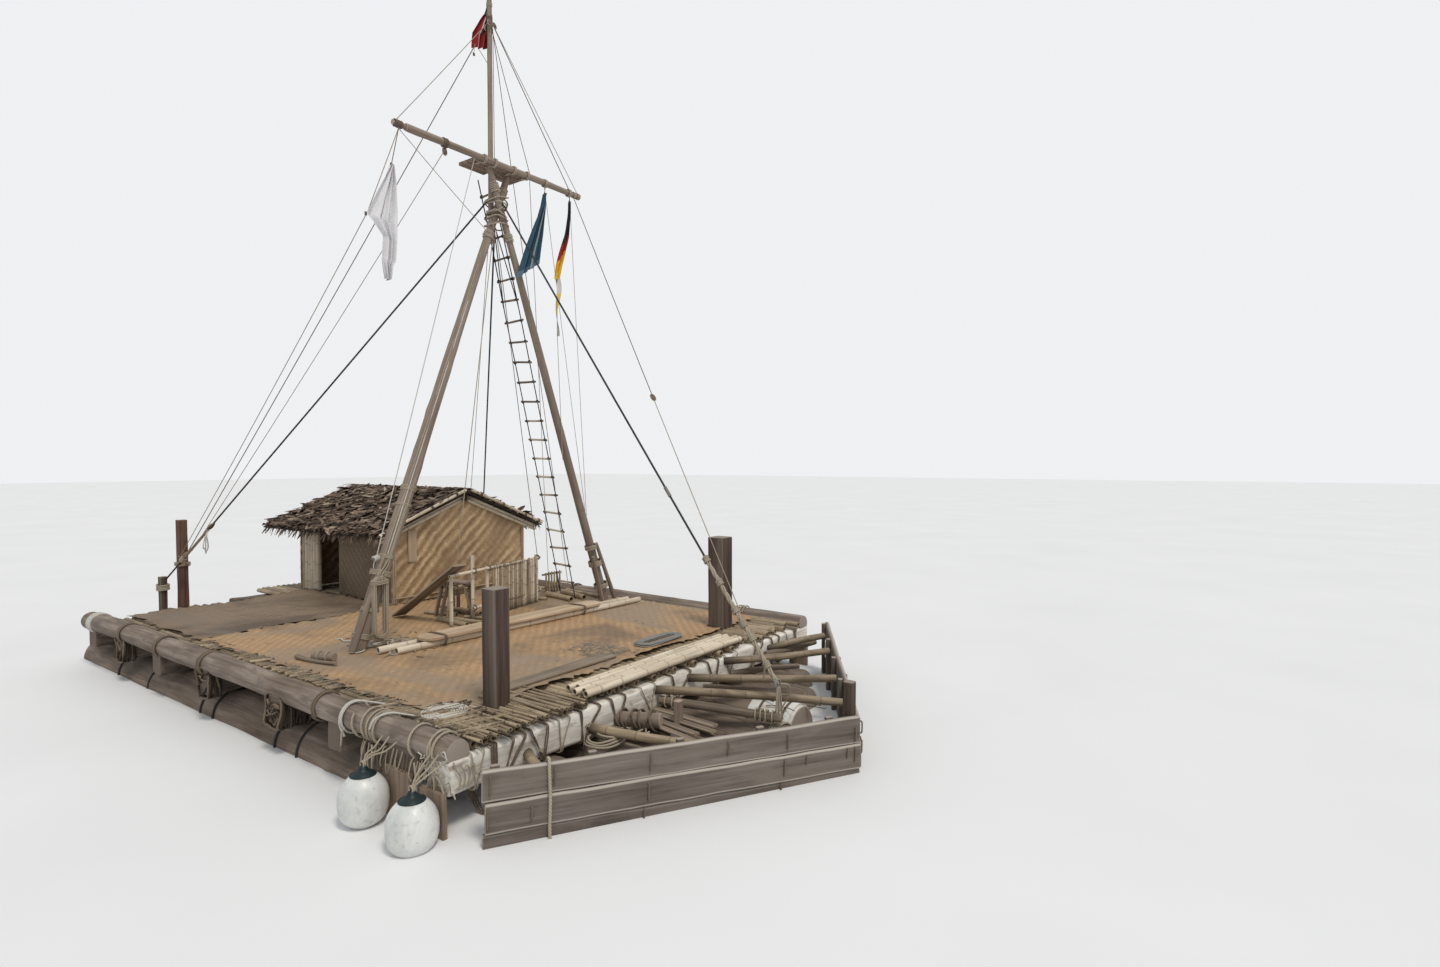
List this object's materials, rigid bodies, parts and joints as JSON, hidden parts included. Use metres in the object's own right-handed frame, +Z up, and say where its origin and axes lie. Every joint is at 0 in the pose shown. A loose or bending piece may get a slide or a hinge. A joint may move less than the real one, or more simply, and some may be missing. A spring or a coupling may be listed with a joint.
{
  "type": "balsa log raft",
  "caption": "Sailing raft of lashed balsa logs with a bamboo deck, thatched cabin, crossed-leg mast with yard and lookout, and plank splash boards at the bow.",
  "frame": {"origin": "on the centreline at the bottom of the hull logs, below the middle of the main deck", "axes": "+X to the bow, +Y to port, +Z up"},
  "size_m": [10.9862, 6.0953, 9.3498],
  "materials": {
    "balsa_log": "weathered, damp below",
    "bleached_beam": "sun-bleached, matte",
    "grey_timber": "weathered grey, rough sawn",
    "side_log": "weathered, matte",
    "bamboo": "dry bamboo, satin",
    "plaited_mat": "plaited bamboo strips, matte",
    "dark_timber": "dark weathered timber",
    "mast_timber": "smooth weathered pole",
    "rope": "laid natural fibre",
    "stay_rope": "dark tarred rope",
    "thatch": "dry leaves",
    "fender": "matte vinyl",
    "flag_white": "woven cloth",
    "flag_blue": "woven cloth",
    "flag_stripes": "woven cloth",
    "flag_red": "woven cloth"
  },
  "bodies": {
    "root": {"apex_post": "grey_timber", "backstay_port": "stay_rope", "backstay_stbd": "stay_rope", "bamboo_bundle": "bamboo", "bamboo_deck": "bamboo", "bamboo_fence": "bamboo", "bargeboards": "bamboo", "bow_beam": "bleached_beam", "bow_struts": "bamboo", "cabin_frame": "bamboo", "cabin_gable_aft": "plaited_mat", "cabin_gable_bow": "plaited_mat", "cabin_wall_port": "plaited_mat", "cabin_wall_stbd": "plaited_mat", "cross_beams": "grey_timber", "deck_mat_fore": "plaited_mat", "deck_mat_side": "plaited_mat", "deck_plank": "grey_timber", "door_posts": "bamboo", "end_boards_port": "grey_timber", "end_boards_stbd": "grey_timber", "fenders": "fender", "flag_blue": "flag_blue", "flag_red": "flag_red", "flag_stripes": "flag_stripes", "flag_white": "flag_white", "flat_coil": "rope", "forestay": "stay_rope", "hank": "rope", "hull_log_1": "balsa_log", "hull_log_2": "balsa_log", "hull_log_3": "balsa_log", "hull_log_4": "balsa_log", "hull_log_5": "balsa_log", "hull_log_6": "balsa_log", "hull_log_7": "balsa_log", "hull_log_8": "balsa_log", "hull_log_9": "balsa_log", "lean_plank": "grey_timber", "lookout_platform": "mast_timber", "mast_lashing": "rope", "mast_leg_port": "mast_timber", "mast_leg_stbd": "mast_timber", "mooring_post_aft_stbd": "dark_timber", "mooring_post_bow_port": "dark_timber", "mooring_post_bow_stbd": "dark_timber", "rope_heap": "rope", "rope_ladder": "rope", "side_log_port": "side_log", "side_log_stbd": "side_log", "splash_boards_port": "grey_timber", "splash_boards_stbd": "grey_timber", "stowed_blade": "mast_timber", "stowed_poles": "bamboo", "tackle_post": "grey_timber", "thatch_port": "thatch", "thatch_stbd": "thatch", "topmast": "mast_timber", "yard": "mast_timber"}
  },
  "joints": []
}
